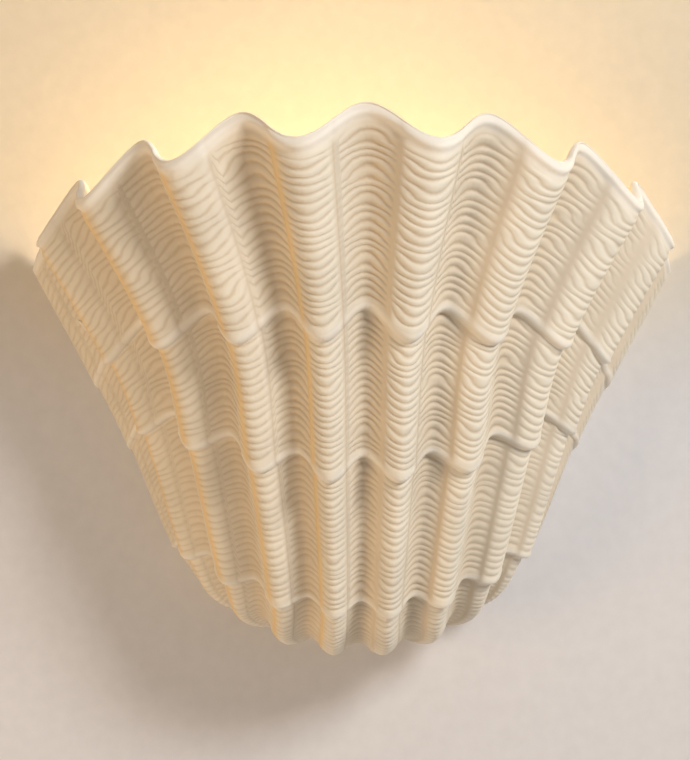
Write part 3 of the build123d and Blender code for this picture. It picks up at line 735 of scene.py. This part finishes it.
def makeDustGroup():
    # dust lies on what faces up, in soft patches
    group, given, result = openGroup(
        "settledDust",
        "ShaderNodeTree",
        [("Amount", "NodeSocketFloat", 0.3), ("Patch Size", "NodeSocketFloat", 60.0)],
        [("Mask", "NodeSocketFloat")],
    )
    up = alongAxis(group, addNode(group, "ShaderNodeNewGeometry").outputs["Normal"], 2)
    patches = noiseNode(group, objectPlace(group), given.outputs["Patch Size"], 4.0)
    soft = mapRange(group, patches, 0.3, 0.7, 0.4, 1.0)
    lying = mathNode(group, "MULTIPLY", mapRange(group, up, 0.3, 1.0), soft)
    mask = mathNode(group, "MULTIPLY", lying, given.outputs["Amount"], clamp=True)
    group.links.new(mask, result.inputs["Mask"])
    return group


grainGroup = makeGrainGroup()
wearGroup, brushGroup, dustGroup = makeWearGroup(), makeBrushGroup(), makeDustGroup()

plasterLook = {
    "ridge": (0.80, 0.73, 0.605, 1),
    # painted highlight along the ledge lips and the rim
    "lip": (0.88, 0.825, 0.735, 1),
    # painted shade, laid in the seam cuts and in the troughs between the ripples
    "valleyShade": (0.44, 0.300, 0.165, 1),
    # painted shade: the groove hollows are darkened where shade falls into them
    "hollow": (0.585, 0.46, 0.31, 1),
    # painted light and shade on the steep left flank of each rib: warm lamplight on the left of the shell,
    # shade on the right
    "stripLight": (0.82, 0.590, 0.300, 1),
    "stripShade": (0.54, 0.400, 0.265, 1),
    "hollowPower": 1.6,
    "hollowShare": 0.55,
    "stripLightShare": 0.95,
    "stripShadeShare": 0.35,
    "lipHighlightShare": 0.8,
    # the share of painted shade in the seam cuts
    "seamShare": 0.45,
    "troughShadeShare": 0.42,
    "troughReach": 0.85,
    "mottle": (0.94, 1.04),
    "grainScale": 1400.0,
    "roughness": (0.49, 0.63),
    "specular": 0.35,
    "cutReach": 0.7,
    "cutShare": 0.5,
    "grainShare": 0.2,
    "bumpStrength": 0.6,
    "bumpDepth": 0.0004,
}


def makePlaster():
    look = plasterLook
    material, tree, shader = openMaterial("castPlaster")
    grain = useGroup(tree, grainGroup, Scale=look["grainScale"], Contrast=1.0)

    def stored(name):
        return addNode(tree, "ShaderNodeAttribute", {"attribute_name": name}).outputs["Fac"]

    def tinted(colour, mask, share, other, clamp=False):
        return mixColour(tree, mathNode(tree, "MULTIPLY", mask, share, clamp=clamp), colour, other)

    line = mathNode(tree, "MULTIPLY", stored("combLine"), pi)
    line = mathNode(tree, "ABSOLUTE", mathNode(tree, "SINE", line))
    fade = stored("combFade")
    # painted shade in the troughs between the ripples
    troughShade = mathNode(tree, "MULTIPLY", mapRange(tree, line, 0.0, look["troughReach"], 1.0, 0.0, True), fade)
    # painted shade, deepest on the floor of each groove
    hollow = mathNode(tree, "POWER", stored("hollow"), look["hollowPower"])
    strip = stored("strip")
    colour = tinted(look["ridge"], hollow, look["hollowShare"], look["hollow"])
    # painted lamplight on the left flanks, then painted shade on the right ones
    colour = tinted(colour, strip, look["stripLightShare"], look["stripLight"], True)
    colour = tinted(colour, strip, -look["stripShadeShare"], look["stripShade"], True)
    # painted highlight on the lips and the rim
    colour = tinted(colour, stored("lip"), look["lipHighlightShare"], look["lip"])
    # painted shade in the seam cuts
    colour = tinted(colour, stored("seam"), look["seamShare"], look["valleyShade"])
    colour = tinted(colour, troughShade, look["troughShadeShare"], look["valleyShade"])
    broad = grain.outputs["Broad"]
    colour = greyTint(tree, colour, mapRange(tree, broad, 0.3, 0.7, *look["mottle"]))
    tree.links.new(colour, shader.inputs["Base Color"])
    tree.links.new(mapRange(tree, broad, 0.3, 0.7, *look["roughness"]), shader.inputs["Roughness"])
    shader.inputs["Specular IOR Level"].default_value = look["specular"]
    cut = mathNode(tree, "MULTIPLY", mapRange(tree, line, 0.0, look["cutReach"], 0.0, 1.0, True), fade)
    cut = mathNode(tree, "MULTIPLY", cut, look["cutShare"])
    height = mathNode(tree, "MULTIPLY_ADD", grain.outputs["Grain"], look["grainShare"], cut)
    inputs = {"Strength": look["bumpStrength"], "Distance": look["bumpDepth"], "Height": height}
    bump = addNode(tree, "ShaderNodeBump", None, inputs)
    tree.links.new(bump.outputs[0], shader.inputs["Normal"])
    return material


plaster = makePlaster()
shell = fromTree(makeShell(), makeRippleTree(), {**rippleForm, "Finish": plaster})
print("shell casting:", sum(len(face.vertices) - 2 for face in shell.data.polygons), "triangles")
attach(shell, "shell")
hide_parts("shell_casting")

# the finish of each slot: its own, shaded and worn colours, whether it is metal, its roughness from glossiest
# to dullest, the depth of its grain in metres, its share of wear and dust, and whether it is brushed
finishLooks = {
    "bracket_steel": {
        "base": (0.80, 0.80, 0.775), "shaded": (0.72, 0.715, 0.69), "worn": (0.45, 0.45, 0.45),
        "metal": 0, "rough": (0.38, 0.52), "depth": 0.00012, "wear": 0.7, "dust": 0.30, "brushed": 0,
    },
    "zinc_steel": {
        "base": (0.70, 0.71, 0.73), "shaded": (0.52, 0.54, 0.58), "worn": (0.86, 0.86, 0.86),
        "metal": 1, "rough": (0.24, 0.42), "depth": 0.00005, "wear": 0.6, "dust": 0.12, "brushed": 1,
    },
    "brass": {
        "base": (0.80, 0.58, 0.24), "shaded": (0.50, 0.33, 0.12), "worn": (0.90, 0.72, 0.38),
        "metal": 1, "rough": (0.22, 0.40), "depth": 0.00004, "wear": 0.6, "dust": 0.10, "brushed": 1,
    },
    "nickel_brass": {
        "base": (0.74, 0.72, 0.66), "shaded": (0.60, 0.57, 0.50), "worn": (0.80, 0.66, 0.38),
        "metal": 1, "rough": (0.16, 0.30), "depth": 0.00003, "wear": 0.5, "dust": 0.06, "brushed": 1,
    },
    "tinned_copper": {
        "base": (0.72, 0.69, 0.65), "shaded": (0.55, 0.50, 0.45), "worn": (0.80, 0.50, 0.34),
        "metal": 1, "rough": (0.28, 0.45), "depth": 0.00004, "wear": 0.7, "dust": 0.08, "brushed": 0,
    },
    "solder": {
        "base": (0.60, 0.60, 0.62), "shaded": (0.42, 0.42, 0.44), "worn": (0.75, 0.75, 0.76),
        "metal": 1, "rough": (0.34, 0.52), "depth": 0.00008, "wear": 0.4, "dust": 0.0, "brushed": 0,
    },
    "white_nylon": {
        "base": (0.82, 0.80, 0.73), "shaded": (0.74, 0.71, 0.62), "worn": (0.90, 0.89, 0.84),
        "metal": 0, "rough": (0.36, 0.50), "depth": 0.00006, "wear": 0.3, "dust": 0.28, "brushed": 0,
    },
    "black_rubber": {
        "base": (0.028, 0.028, 0.03), "shaded": (0.05, 0.05, 0.052), "worn": (0.12, 0.12, 0.12),
        "metal": 0, "rough": (0.62, 0.80), "depth": 0.00015, "wear": 0.4, "dust": 0.25, "brushed": 0,
    },
    "holder_plastic": {
        "base": (0.84, 0.82, 0.76), "shaded": (0.76, 0.73, 0.66), "worn": (0.92, 0.91, 0.88),
        "metal": 0, "rough": (0.30, 0.44), "depth": 0.00006, "wear": 0.3, "dust": 0.30, "brushed": 0,
    },
    "holder_porcelain": {
        "base": (0.86, 0.85, 0.81), "shaded": (0.78, 0.76, 0.71), "worn": (0.93, 0.93, 0.91),
        "metal": 0, "rough": (0.40, 0.62), "depth": 0.00010, "wear": 0.3, "dust": 0.15, "brushed": 0,
    },
    "black_insulator": {
        "base": (0.02, 0.02, 0.026), "shaded": (0.04, 0.04, 0.05), "worn": (0.10, 0.10, 0.11),
        "metal": 0, "rough": (0.12, 0.24), "depth": 0.00003, "wear": 0.2, "dust": 0.0, "brushed": 0,
    },
    "lamp_plastic": {
        "base": (0.88, 0.87, 0.83), "shaded": (0.82, 0.80, 0.75), "worn": (0.94, 0.94, 0.92),
        "metal": 0, "rough": (0.26, 0.38), "depth": 0.00004, "wear": 0.3, "dust": 0.22, "brushed": 0,
    },
    "board_aluminium": {
        "base": (0.84, 0.85, 0.85), "shaded": (0.74, 0.75, 0.76), "worn": (0.90, 0.90, 0.90),
        "metal": 1, "rough": (0.30, 0.48), "depth": 0.00005, "wear": 0.4, "dust": 0.0, "brushed": 1,
    },
    "live_insulation": {
        "base": (0.19, 0.075, 0.028), "shaded": (0.13, 0.05, 0.02), "worn": (0.28, 0.13, 0.06),
        "metal": 0, "rough": (0.34, 0.48), "depth": 0.00004, "wear": 0.3, "dust": 0.12, "brushed": 0,
    },
    "neutral_insulation": {
        "base": (0.025, 0.10, 0.42), "shaded": (0.018, 0.07, 0.30), "worn": (0.10, 0.20, 0.52),
        "metal": 0, "rough": (0.34, 0.48), "depth": 0.00004, "wear": 0.3, "dust": 0.12, "brushed": 0,
    },
    "earth_insulation": {
        "base": (0.10, 0.34, 0.03), "shaded": (0.07, 0.25, 0.022), "worn": (0.22, 0.45, 0.12),
        "metal": 0, "rough": (0.34, 0.48), "depth": 0.00004, "wear": 0.3, "dust": 0.12, "brushed": 0,
    },
    "opal_globe": {
        "base": (0.93, 0.90, 0.82), "shaded": (0.90, 0.86, 0.77), "worn": (0.96, 0.94, 0.90),
        "metal": 0, "rough": (0.34, 0.44), "depth": 0.00003, "wear": 0.0, "dust": 0.12, "brushed": 0,
    },
}
finishSet = {
    "grainScale": 1500.0,
    "wearWidth": 0.0003,
    "bumpStrength": 0.5,
    "dust": (0.55, 0.50, 0.44, 1),
    "dustRoughness": 0.4,
    "earthStripe": (0.72, 0.55, 0.03, 1),
    "stripeEdge": (0.60, 0.66),
    "globeGlow": (1.0, 0.80, 0.47, 1),
    "globePower": 1.3,
    "globeDepth": 0.004,
    "globeSoftness": 0.4,
}


def makeFinish(name):
    look, every = finishLooks[name], finishSet
    material, tree, shader = openMaterial(name)
    grain = useGroup(tree, grainGroup, Scale=every["grainScale"], Contrast=1.0)
    edge = useGroup(tree, wearGroup, Width=every["wearWidth"], Amount=look["wear"]).outputs["Mask"]
    lying = useGroup(tree, dustGroup, Amount=look["dust"]).outputs["Mask"]
    broad = mapRange(tree, grain.outputs["Broad"], 0.35, 0.65)
    colour = mixColour(tree, broad, (*look["base"], 1), (*look["shaded"], 1))
    if name == "earth_insulation":
        # two yellow stripes along the green wire, by which way its surface faces
        facing = alongAxis(tree, addNode(tree, "ShaderNodeTexCoord").outputs["Normal"], 0)
        stripe = mapRange(tree, mathNode(tree, "ABSOLUTE", facing), *every["stripeEdge"])
        colour = mixColour(tree, stripe, colour, every["earthStripe"])
    colour = mixColour(tree, edge, colour, (*look["worn"], 1))
    colour = mixColour(tree, lying, colour, every["dust"])
    tree.links.new(colour, shader.inputs["Base Color"])
    surface = useGroup(tree, brushGroup).outputs["Lines"] if look["brushed"] else grain.outputs["Grain"]
    gloss = mapRange(tree, surface, 0.3, 0.7, *look["rough"])
    dulled = mathNode(tree, "MULTIPLY_ADD", lying, every["dustRoughness"], gloss, clamp=True)
    tree.links.new(dulled, shader.inputs["Roughness"])
    inputs = {"Strength": every["bumpStrength"], "Distance": look["depth"], "Height": surface}
    bump = addNode(tree, "ShaderNodeBump", None, inputs)
    tree.links.new(bump.outputs[0], shader.inputs["Normal"])
    shader.inputs["Metallic"].default_value = look["metal"]
    if name == "opal_globe":
        shader.inputs["Subsurface Weight"].default_value = every["globeSoftness"]
        shader.inputs["Subsurface Scale"].default_value = every["globeDepth"]
        shader.inputs["Emission Color"].default_value = every["globeGlow"]
        shader.inputs["Emission Strength"].default_value = every["globePower"]
    return material


finishes = {name: makeFinish(name) for name in finishLooks}
slots = {item["node"]: item["material_slot"] for item in frame["record"]["subparts"]}
for name, node in cadNodes.items():
    if name != "shell_casting":
        node.data.materials.clear()
        node.data.materials.append(finishes[slots[name]])
print("finishes:", len(finishes))

# the rolled thread of the lamp's cap and of the shell that it screws into, in millimetres
threadForm = {
    "pitch": 3.63,
    "axis": (0.0, -68.0),
    "segments": 72,
    "rowStep": 0.3,
    "runOut": 1.8,  # over which a thread fades at its ends
    "capCrest": 12.93,
    "capRoot": 12.46,
    "capInside": 12.42,
    "capFoot": -50.9,
    "capTop": -26.9,
    "capThread": (-49.4, -34.4),
    "footHole": 2.0,
    "footFlat": 11.2,
    "footCorner": (12.1, 0.35),
    "footSheet": 0.45,
    "wallStart": 1.2,
    "wallEnd": 0.6,
    "insideFoot": 2.0,
    "insideFlare": 0.03,
    "shellInside": 13.06,
    "shellSwing": 0.44,
    "shellSheet": 0.14,
    "shellFoot": -58.0,
    "shellTop": -28.0,
    "shellThread": (-54.5, -30.0),
}


def lathe(name, profile):
    # turns rows of (radius, height, thread depth) about the lamp's axis into a closed ring or cup
    form = threadForm
    count = form["segments"]
    centreX, centreY = form["axis"]
    points, faces = [], []
    for radius, height, depth in profile:
        for step in range(count):
            angle = 2 * pi * step / count
            wave = 0.5 - 0.5 * cos(2 * pi * (height / form["pitch"] - step / count))
            out = radius - depth * wave
            points.append((centreX + out * cos(angle), centreY + out * sin(angle), height))
    rows = len(profile)
    for row in range(rows):
        after = (row + 1) % rows
        for step in range(count):
            a, b = row * count + step, row * count + (step + 1) % count
            faces.append((a, b, after * count + (step + 1) % count, after * count + step))
    piece = newPiece(name, np.array(points) * mm, faces)
    faceOut(piece)
    piece.data.polygons.foreach_set("use_smooth", [True] * len(piece.data.polygons))
    return piece


def threadDepth(height, reach, depth):
    (low, high), fade = reach, threadForm["runOut"]
    return depth * float(ramp(height, low, low + fade) * (1 - ramp(height, high - fade, high)))


def makeLampCap():
    form = threadForm
    crest, inside, foot, top = form["capCrest"], form["capInside"], form["capFoot"], form["capTop"]
    hole, flat, sheet = form["footHole"], form["footFlat"], form["footSheet"]
    corner, rise = form["footCorner"]
    profile = [(hole, foot, 0), (flat, foot, 0), (corner, foot + rise, 0)]
    for height in np.arange(foot + form["wallStart"], top - form["wallEnd"], form["rowStep"]):
        depth = threadDepth(height, form["capThread"], crest - form["capRoot"])
        profile.append((crest, float(height), depth))
    profile += [(crest, top, 0), (inside + form["insideFlare"], top, 0)]
    profile += [(inside, foot + form["insideFoot"], 0), (flat, foot + sheet, 0), (hole, foot + sheet, 0)]
    return lathe("lampCap", profile)


def makeThreadShell():
    form = threadForm
    high = form["shellInside"] + form["shellSwing"]
    inside, outside = [], []
    for height in np.arange(form["shellFoot"], form["shellTop"] + 0.01, form["rowStep"]):
        depth = threadDepth(height, form["shellThread"], form["shellSwing"])
        inside.append((high, float(height), depth))
        outside.append((high + form["shellSheet"], float(height), depth))
    return lathe("threadShell", outside + inside[::-1])


for piece, body, node, slotName in (
    (makeLampCap(), "lamp", "lamp_cap", "nickel_brass"),
    (makeThreadShell(), "wall_bracket", "thread_shell", "nickel_brass"),
):
    piece.data.materials.append(finishes[slotName])
    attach(piece, body)
    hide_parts(node)
print("threads cut")

# the stage: a pale wall seen only from the room, and a pale floor far below
stageLook = {
    "halfWidth": 3.0,
    "wallGap": 0.0008,
    "floorHeight": -1.2,
    "wall": (0.69, 0.675, 0.685, 1),
    "paintedLampGlow": (0.69, 0.60, 0.46, 1),  # painted lamplight: the wall is painted warmer with height, on top of the lamp's own light
    "lampGlowHeights": (-0.03, 0.12),
    "shade": (0.96, 1.03),
    "grainScale": 120.0,
    "wallRoughness": 0.8,
    "wallSpecular": 0.2,
    "floor": (0.72, 0.70, 0.68, 1),
    "floorRoughness": 0.85,
}


def paintWall(wall):
    look = stageLook
    material, tree, shader = openMaterial("stageWall")
    grain = useGroup(tree, grainGroup, Scale=look["grainScale"], Contrast=1.0)
    shade = mapRange(tree, grain.outputs["Grain"], 0.2, 0.8, *look["shade"])
    height = alongAxis(tree, objectPlace(tree), 2)
    # painted glow of lamplight, rising up the wall
    warm = mapRange(tree, height, *look["lampGlowHeights"], 0.0, 1.0, True)
    paint = mixColour(tree, warm, look["wall"], look["paintedLampGlow"])
    tree.links.new(greyTint(tree, paint, shade), shader.inputs["Base Color"])
    shader.inputs["Roughness"].default_value = look["wallRoughness"]
    shader.inputs["Specular IOR Level"].default_value = look["wallSpecular"]
    clear = addNode(tree, "ShaderNodeBsdfTransparent")
    behind = addNode(tree, "ShaderNodeNewGeometry").outputs["Backfacing"]
    mixer = addNode(tree, "ShaderNodeMixShader", None, {0: behind, 1: shader.outputs[0], 2: clear.outputs[0]})
    tree.links.new(mixer.outputs[0], tree.nodes["Material Output"].inputs["Surface"])
    wall.data.materials.append(material)


def makeStage():
    look = stageLook
    wide = look["halfWidth"]
    square = ((-wide, -wide), (wide, -wide), (wide, wide), (-wide, wide))
    wall = newPiece("stageWall", [(x, look["wallGap"], z) for x, z in square], [(0, 1, 2, 3)])
    paintWall(wall)
    floor = newPiece("stageFloor", [(x, y, look["floorHeight"]) for x, y in square], [(0, 1, 2, 3)])
    material, tree, shader = openMaterial("stageFloor")
    shader.inputs["Base Color"].default_value = look["floor"]
    shader.inputs["Roughness"].default_value = look["floorRoughness"]
    floor.data.materials.append(material)
    wall.visible_shadow = False  # so that the back is lit in views from behind


makeStage()
print("stage set")

# a cool room, a key from the right, a warm fill from the lower left, and the lamp inside
lightSet = {
    "world": (0.86, 0.88, 0.92),
    "worldStrength": 0.32,
    "keyLight": {
        "place": (1.2, -1.35, 0.95), "aim": (0, -0.05, 0.0), "size": 0.55,
        "power": 30.5, "colour": (1.0, 0.965, 0.92),
    },
    "warmFill": {
        "place": (-1.2, -0.95, -0.35), "aim": (0, -0.05, 0.0), "size": 0.6,
        "power": 8.5, "colour": (1.0, 0.66, 0.30),
    },
    "backLight": {
        "place": (0.5, 1.3, 0.7), "aim": (0, 0, 0.0), "size": 1.2,
        "power": 11.0, "colour": (0.96, 0.98, 1.0),
    },
    "lamp": {"place": (0, -0.068, 0.035), "radius": 0.026, "power": 0.78, "colour": (1.0, 0.72, 0.34)},
}


def newLight(name, kind, settings):
    data = bpy.data.lights.new(name, kind)
    data.energy = settings["power"]
    data.color = settings["colour"]
    light = bpy.data.objects.new(name, data)
    bpy.context.scene.collection.objects.link(light)
    light.location = settings["place"]
    return light


world = bpy.data.worlds.new("studio")
world.use_nodes = True
background = world.node_tree.nodes["Background"]
background.inputs[0].default_value = (*lightSet["world"], 1)
background.inputs[1].default_value = lightSet["worldStrength"]
bpy.context.scene.world = world
for name in ("keyLight", "warmFill", "backLight"):
    light = newLight(name, "AREA", lightSet[name])
    light.data.size = lightSet[name]["size"]
    light.rotation_mode = "QUATERNION"
    light.rotation_quaternion = (Vector(lightSet[name]["aim"]) - light.location).to_track_quat("-Z", "Y")
lamp = newLight("lampGlow", "POINT", lightSet["lamp"])
lamp.data.shadow_soft_size = lightSet["lamp"]["radius"]
cadNodes["lamp_globe"].visible_shadow = False
bpy.context.scene.view_settings.view_transform = "Standard"
print("light set")
